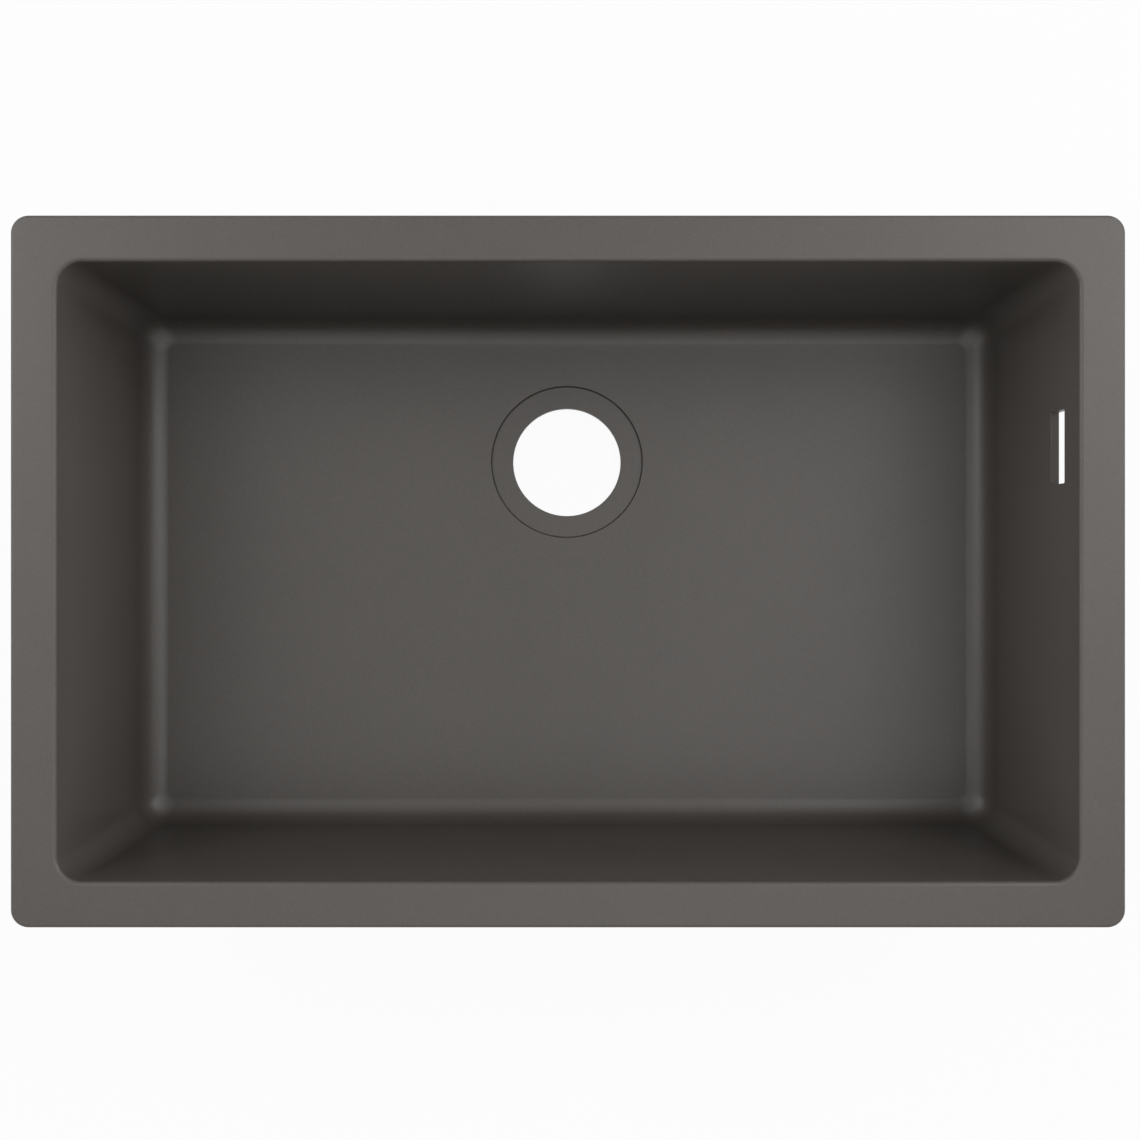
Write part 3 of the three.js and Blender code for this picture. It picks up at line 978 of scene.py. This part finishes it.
def liftGeometry(tree, geometry, height):
    lift = addNode(tree, "ShaderNodeCombineXYZ", Z=height).outputs[0]
    return addNode(tree, "GeometryNodeTransform", Geometry=geometry, Translation=lift).outputs[0]


# puts a finished piece on each point of the object, turned by the point's turn
def placingTree():
    tree, start, end = nodeTree("place on stations", [
        ("Piece", "NodeSocketObject", None),
        ("Finish", "NodeSocketMaterial", None),
    ])
    piece = addNode(tree, "GeometryNodeObjectInfo", Object=start.outputs["Piece"])
    turn = addNode(tree, "GeometryNodeInputNamedAttribute", data_type="FLOAT", Name="turn")
    place = addNode(
        tree, "GeometryNodeInstanceOnPoints",
        Points=start.outputs["Geometry"],
        Instance=piece.outputs["Geometry"],
        Rotation=addNode(tree, "ShaderNodeCombineXYZ", Z=turn.outputs[0]).outputs[0],
    )
    finishTree(tree, end, place.outputs[0], start.outputs["Finish"])
    return tree


screw = {
    "core": 2.55 * mm,  # radius at the thread's root
    "pitch": 1 * mm,
    "ridge": 0.55 * mm,  # radius of the thread's section
    "ridgeSides": 3,
    "ridgeSteps": 28,  # in each turn
    "threadClear": 0.6 * mm,  # plain shank under the head and at the tip
    "tipChamfer": 0.8 * mm,
    "acrossFlats": 10 * mm,
    "headHeight": 4 * mm,
    "headFlat": 4.75 * mm,  # radius of the flat on the head
    "chamferSlope": 0.577,
    "facets": 72,
    "rows": 20,
}


# a hexagon head and a helical ridge join the shank that is the object's own mesh
def screwTree():
    length = "NodeSocketFloat"
    tree, start, end = nodeTree("threaded screw", [
        ("Core Radius", length, screw["core"]),
        ("Pitch", length, screw["pitch"]),
        ("Ridge", length, screw["ridge"]),
        ("Thread Start", length, 0.0),
        ("Thread Length", length, 0.0),
        ("Across Flats", length, screw["acrossFlats"]),
        ("Head Height", length, screw["headHeight"]),
        ("Head Middle", length, 0.0),
        ("Head Flat", length, screw["headFlat"]),
        ("Chamfer Slope", length, screw["chamferSlope"]),
        ("Finish", "NodeSocketMaterial", None),
    ])
    sizes = start.outputs
    # the head is a round bar drawn in to the hexagon and to the chamfer's cone
    bar = addNode(
        tree, "GeometryNodeMeshCylinder",
        Vertices=screw["facets"], Radius=1, Depth=sizes["Head Height"],
    )
    bar.inputs["Side Segments"].default_value = screw["rows"]
    position = addNode(tree, "GeometryNodeInputPosition").outputs[0]
    x, y, z = addNode(tree, "ShaderNodeSeparateXYZ", Vector=position).outputs
    angle = calculate(tree, "ARCTAN2", y, x)
    fromFlat = calculate(tree, "WRAP", angle, math.pi / 6, -math.pi / 6)
    halfFlats = calculate(tree, "MULTIPLY", sizes["Across Flats"], 0.5)
    hexagon = calculate(tree, "DIVIDE", halfFlats, calculate(tree, "COSINE", fromFlat))
    rise = calculate(tree, "MULTIPLY_ADD", sizes["Head Height"], 0.5, z)
    flare = calculate(tree, "DIVIDE", rise, sizes["Chamfer Slope"])
    cone = calculate(tree, "ADD", flare, sizes["Head Flat"])
    radius = calculate(tree, "MINIMUM", hexagon, cone)
    place = addNode(
        tree, "ShaderNodeCombineXYZ",
        X=calculate(tree, "MULTIPLY", x, radius),
        Y=calculate(tree, "MULTIPLY", y, radius),
        Z=calculate(tree, "ADD", z, sizes["Head Middle"]),
    ).outputs[0]
    head = addNode(tree, "GeometryNodeSetPosition", Geometry=bar.outputs["Mesh"], Position=place)
    # the ridge follows a helix up the core
    helix = addNode(
        tree, "GeometryNodeCurveSpiral",
        Resolution=screw["ridgeSteps"],
        Rotations=calculate(tree, "DIVIDE", sizes["Thread Length"], sizes["Pitch"]),
        Height=sizes["Thread Length"],
    )
    tree.links.new(sizes["Core Radius"], helix.inputs["Start Radius"])
    tree.links.new(sizes["Core Radius"], helix.inputs["End Radius"])
    upright = addNode(tree, "GeometryNodeSetCurveNormal", mode="Z_UP", Curve=helix.outputs[0])
    section = addNode(
        tree, "GeometryNodeCurvePrimitiveCircle",
        Resolution=screw["ridgeSides"], Radius=sizes["Ridge"],
    )
    ridge = addNode(tree, "GeometryNodeCurveToMesh", Curve=upright.outputs[0])
    tree.links.new(section.outputs["Curve"], ridge.inputs["Profile Curve"])
    ridge.inputs["Fill Caps"].default_value = True
    thread = liftGeometry(tree, ridge.outputs[0], sizes["Thread Start"])
    whole = addNode(tree, "GeometryNodeJoinGeometry")
    for geometry in (start.outputs["Geometry"], thread, head.outputs[0]):
        tree.links.new(geometry, whole.inputs[0])
    finishTree(tree, end, whole.outputs[0], sizes["Finish"])
    return tree


insert = {
    "wall": 0.7 * mm,
    "groove": 0.5 * mm,
    "grooveWidth": 1.6 * mm,
    "mouth": 0.3 * mm,
    "knurlGap": 0.9 * mm,  # free sleeve in each half
    "knurls": 26,
    "knurlRadius": 0.28 * mm,
    "knurlSides": 4,
    "facets": 52,
}


# straight knurls round the sleeve that is the object's own mesh
def knurlTree():
    length = "NodeSocketFloat"
    tree, start, end = nodeTree("knurled sleeve", [
        ("Knurls", "NodeSocketInt", insert["knurls"]),
        ("Knurl Radius", length, insert["knurlRadius"]),
        ("Sleeve Radius", length, 0.0),
        ("Band Length", length, 0.0),
        ("Low Band", length, 0.0),
        ("High Band", length, 0.0),
        ("Finish", "NodeSocketMaterial", None),
    ])
    sizes = start.outputs
    rod = addNode(
        tree, "GeometryNodeMeshCylinder",
        Vertices=insert["knurlSides"], Radius=sizes["Knurl Radius"], Depth=sizes["Band Length"],
    )
    sunk = calculate(tree, "MULTIPLY_ADD", sizes["Knurl Radius"], -1, sizes["Sleeve Radius"])
    circle = addNode(tree, "GeometryNodeMeshCircle", Vertices=sizes["Knurls"], Radius=sunk)
    share = calculate(tree, "DIVIDE", 2 * math.pi, sizes["Knurls"])
    number = addNode(tree, "GeometryNodeInputIndex").outputs[0]
    turn = calculate(tree, "MULTIPLY", number, share)
    place = addNode(
        tree, "GeometryNodeInstanceOnPoints",
        Points=circle.outputs[0],
        Instance=rod.outputs["Mesh"],
        Rotation=addNode(tree, "ShaderNodeCombineXYZ", Z=turn).outputs[0],
    )
    whole = addNode(tree, "GeometryNodeJoinGeometry")
    tree.links.new(start.outputs["Geometry"], whole.inputs[0])
    for band in ("Low Band", "High Band"):
        tree.links.new(liftGeometry(tree, place.outputs[0], sizes[band]), whole.inputs[0])
    finishTree(tree, end, whole.outputs[0], sizes["Finish"])
    return tree


# a ring turned from a closed profile of (radius, z), listed anticlockwise
def turnedRing(name, profile, facets):
    rings = []
    for radius, z in profile:
        turns = [2 * math.pi * j / facets for j in range(facets)]
        rings.append([Vector((radius * math.cos(a), radius * math.sin(a), z)) for a in turns])
    return closedLoft(name, rings)


def roundedSection(inner, outer, low, high, edge, count):
    profile = []
    corners = [
        (outer - edge, low + edge, -90),
        (outer - edge, high - edge, 0),
        (inner + edge, high - edge, 90),
        (inner + edge, low + edge, 180),
    ]
    for radius, z, start in corners:
        for degrees in spread(start, start + 90, count):
            angle = math.radians(degrees)
            profile.append((radius + edge * math.cos(angle), z + edge * math.sin(angle)))
    return profile


def makeInsertPiece(finish):
    low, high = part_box("insert_back_2")
    outer = (high.x - low.x) / 2
    bore = outer - insert["wall"]
    waist = outer - insert["groove"]
    mouth = insert["mouth"]
    middle = (low.z + high.z) / 2
    half = insert["grooveWidth"] / 2
    sleeve = outer - insert["knurlRadius"] / 2
    profile = [
        (bore + mouth, low.z), (sleeve, low.z), (sleeve, middle - half - mouth),
        (waist, middle - half), (waist, middle + half), (sleeve, middle + half + mouth),
        (sleeve, high.z), (bore + mouth, high.z), (bore, high.z - mouth), (bore, low.z + mouth),
    ]
    piece = linkObject("insertPiece", turnedRing("insertPiece", profile, insert["facets"]))
    band = (high.z - low.z - insert["grooveWidth"]) / 2 - insert["knurlGap"]
    return runTree(piece, knurlTree(), {
        "Sleeve Radius": outer,
        "Band Length": band,
        "Low Band": low.z + mouth + band / 2,
        "High Band": high.z - mouth - band / 2,
        "Finish": finish,
    })


washer = {"edge": 0.25 * mm, "edgeSteps": 3, "facets": 56}


def makeWasherPiece():
    low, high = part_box("washer_back_2")
    outer = (high.x - low.x) / 2
    size = (lug["hole"], outer, low.z, high.z, washer["edge"], washer["edgeSteps"])
    return linkObject(
        "washerPiece", turnedRing("washerPiece", roundedSection(*size), washer["facets"])
    )


def makeScrewPiece(finish):
    low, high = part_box("screw_back_2")
    headTop = low.z + screw["headHeight"]
    headMiddle = headTop - screw["headHeight"] / 2
    core = screw["core"]
    chamfer = screw["tipChamfer"]
    shape = bmesh.new()
    shank = [(core, headMiddle), (core, high.z - chamfer), (core - chamfer, high.z)]
    turnedBody(shape, shank, screw["facets"], Vector((0, 0, 0)))
    piece = linkObject("screwPiece", meshFrom(shape, "screwPiece"))
    threadStart = headTop + screw["threadClear"] + screw["ridge"]
    return runTree(piece, screwTree(), {
        "Thread Start": threadStart,
        "Thread Length": high.z - chamfer - screw["ridge"] - threadStart,
        "Head Middle": headMiddle,
        "Finish": finish,
    })


def prism(outline, low, high, upright):
    shape = bmesh.new()
    ends = []
    for depth in (low, high):
        ring = []
        for a, b in outline:
            ring.append(shape.verts.new((a, depth, b) if upright else (a, b, depth)))
        ends.append(ring)
    for j in range(len(outline)):
        k = (j + 1) % len(outline)
        shape.faces.new((ends[0][j], ends[0][k], ends[1][k], ends[1][j]))
    shape.faces.new(ends[0])
    shape.faces.new(ends[1])
    bmesh.ops.recalc_face_normals(shape, faces=shape.faces)
    return shape


def arcPoints(x, y, radius, fromDegrees, toDegrees, count):
    points = []
    for degrees in spread(fromDegrees, toDegrees, count):
        angle = math.radians(degrees)
        points.append((x + radius * math.cos(angle), y + radius * math.sin(angle)))
    return points


lug = {
    "thickness": 2.5 * mm,
    "reach": 40 * mm,
    "width": 16 * mm,
    "endRound": 5 * mm,
    "heelRound": 1.2 * mm,
    "bendStart": 12 * mm,
    "bendEnd": 20 * mm,
    "bendRadius": 3 * mm,
    "slotWidth": 6.5 * mm,
    "slotLength": 12 * mm,
    "slotLand": 4.5 * mm,
    "hole": 3.3 * mm,
    "softEdge": 0.35 * mm,
    "softSteps": 2,
    "softAngle": math.radians(50),  # only edges sharper than this
    "cutReach": 12 * mm,  # above and below, for the bodies that cut and meet
    "tailSteps": 10,
    "endSteps": 8,
    "heelSteps": 4,
    "bendSteps": 6,
    "slotSteps": 12,
    "holeSteps": 36,
}


# the lug from above: flat heel, round tail, rounded outer end
def lugOutline(heel):
    half = lug["width"] / 2
    end = lug["endRound"]
    small = lug["heelRound"]
    outline = arcPoints(0, 0, half, 180, 270, lug["tailSteps"])
    outline += arcPoints(lug["reach"] - end, end - half, end, 270, 360, lug["endSteps"])
    outline += arcPoints(lug["reach"] - end, half - end, end, 0, 90, lug["endSteps"])
    outline += arcPoints(small - heel, half - small, small, 90, 180, lug["heelSteps"])
    outline.append((-heel, 0))
    return outline


# the lug from its side: a strip with two rounded bends
def lugSide(rise):
    slope = math.atan2(rise, lug["bendEnd"] - lug["bendStart"])
    half = lug["thickness"] / 2
    radius = lug["bendRadius"]
    shift = half * math.tan(slope / 2)
    tangent = radius * math.tan(slope / 2)
    firstBend = lug["bendStart"] + shift
    secondBend = lug["bendEnd"] + shift
    path = [(-lug["reach"], -half, 0)]  # both ends run past the outline
    for angle in spread(0, slope, lug["bendSteps"]):
        path.append((
            firstBend - tangent + radius * math.sin(angle),
            radius * (1 - math.cos(angle)) - half,
            angle,
        ))
    for angle in spread(slope, 0, lug["bendSteps"]):
        path.append((
            secondBend + tangent - radius * math.sin(angle),
            rise - radius * (1 - math.cos(angle)) - half,
            angle,
        ))
    path.append((2 * lug["reach"], rise - half, 0))
    top = [(x - half * math.sin(a), z + half * math.cos(a)) for x, z, a in path]
    under = [(x + half * math.sin(a), z - half * math.cos(a)) for x, z, a in path]
    return top + under[::-1]


def makeLugPiece():
    low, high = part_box("lug_back_2")
    centre = stations["back_2"]
    heel = centre.x - low.x
    rise = high.z - low.z - lug["thickness"]
    flatTop = low.z + lug["thickness"]
    deep = lug["cutReach"]
    plan = prism(lugOutline(heel), -deep, deep, False)
    piece = linkObject("lugPiece", meshFrom(plan, "lugPiece"))
    combine(piece, prism(lugSide(rise), -deep, deep, True), "INTERSECT", "side")
    slotEnd = lug["slotWidth"] / 2
    outer = lug["reach"] - lug["slotLand"] - slotEnd
    inner = outer - lug["slotLength"] + lug["slotWidth"]
    slot = arcPoints(outer, 0, slotEnd, -90, 90, lug["slotSteps"])
    slot += arcPoints(inner, 0, slotEnd, 90, 270, lug["slotSteps"])
    combine(piece, prism(slot, -deep, deep, False), "DIFFERENCE", "slot")
    hole = arcPoints(0, 0, lug["hole"], 0, 360, lug["holeSteps"])[:-1]
    combine(piece, prism(hole, -deep, deep, False), "DIFFERENCE", "hole")
    soften = piece.modifiers.new("pressed edges", "BEVEL")
    soften.width = lug["softEdge"]
    soften.segments = lug["softSteps"]
    soften.limit_method = "ANGLE"
    soften.angle_limit = lug["softAngle"]
    applyAll(piece)
    piece.data.transform(Matrix.Translation((0, 0, flatTop)))
    return piece


fixings = {"sharpAngle": 30}  # edges flatter than this many degrees are smooth


# one object for each body, with a point at each of its stations
def placePiece(tree, piece, finish, name, labels):
    mesh = bpy.data.meshes.new(name)
    mesh.from_pydata([(stations[label].x, stations[label].y, 0) for label in labels], [], [])
    turns = mesh.attributes.new("turn", "FLOAT", "POINT")
    for point, label in zip(turns.data, labels):
        point.value = stationTurn(label)
    obj = linkObject(name, mesh)
    runTree(obj, tree, {"Piece": piece, "Finish": finish})
    return smoothExceptEdges(obj, fixings["sharpAngle"])


def makeFixings():
    brassFinish = makeMetal(brass)
    zincFinish = makeMetal(zinc)
    steelFinish = makeMetal(steel)
    place = placingTree()
    pieces = {
        "insert": makeInsertPiece(brassFinish),
        "washer": makeWasherPiece(),
        "screw": makeScrewPiece(steelFinish),
        "lug": makeLugPiece(),
    }
    labels = sorted(stations)
    inserts = placePiece(place, pieces["insert"], brassFinish, "brassInserts", labels)
    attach(inserts, "sink")
    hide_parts(*["insert_" + label for label in labels])
    rows = [
        ("washer", "flatWasher_", steelFinish, "screw_steel"),
        ("screw", "hexScrew_", steelFinish, "screw_steel"),
        ("lug", "turnLug_", zincFinish, "lug_zinc"),
    ]
    for kind, name, finish, slot in rows:
        for label in labels:
            obj = placePiece(place, pieces[kind], finish, name + label, [label])
            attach(obj, kind + "_" + label)
            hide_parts(kind + "_" + label)
    for piece in pieces.values():
        bpy.data.objects.remove(piece)
    print("fixings made at", len(labels), "stations")


makeFixings()

makeCamera()
makeGround()
makeStudio()
scene.view_settings.view_transform = "Standard"
print("camera, ground and studio made")
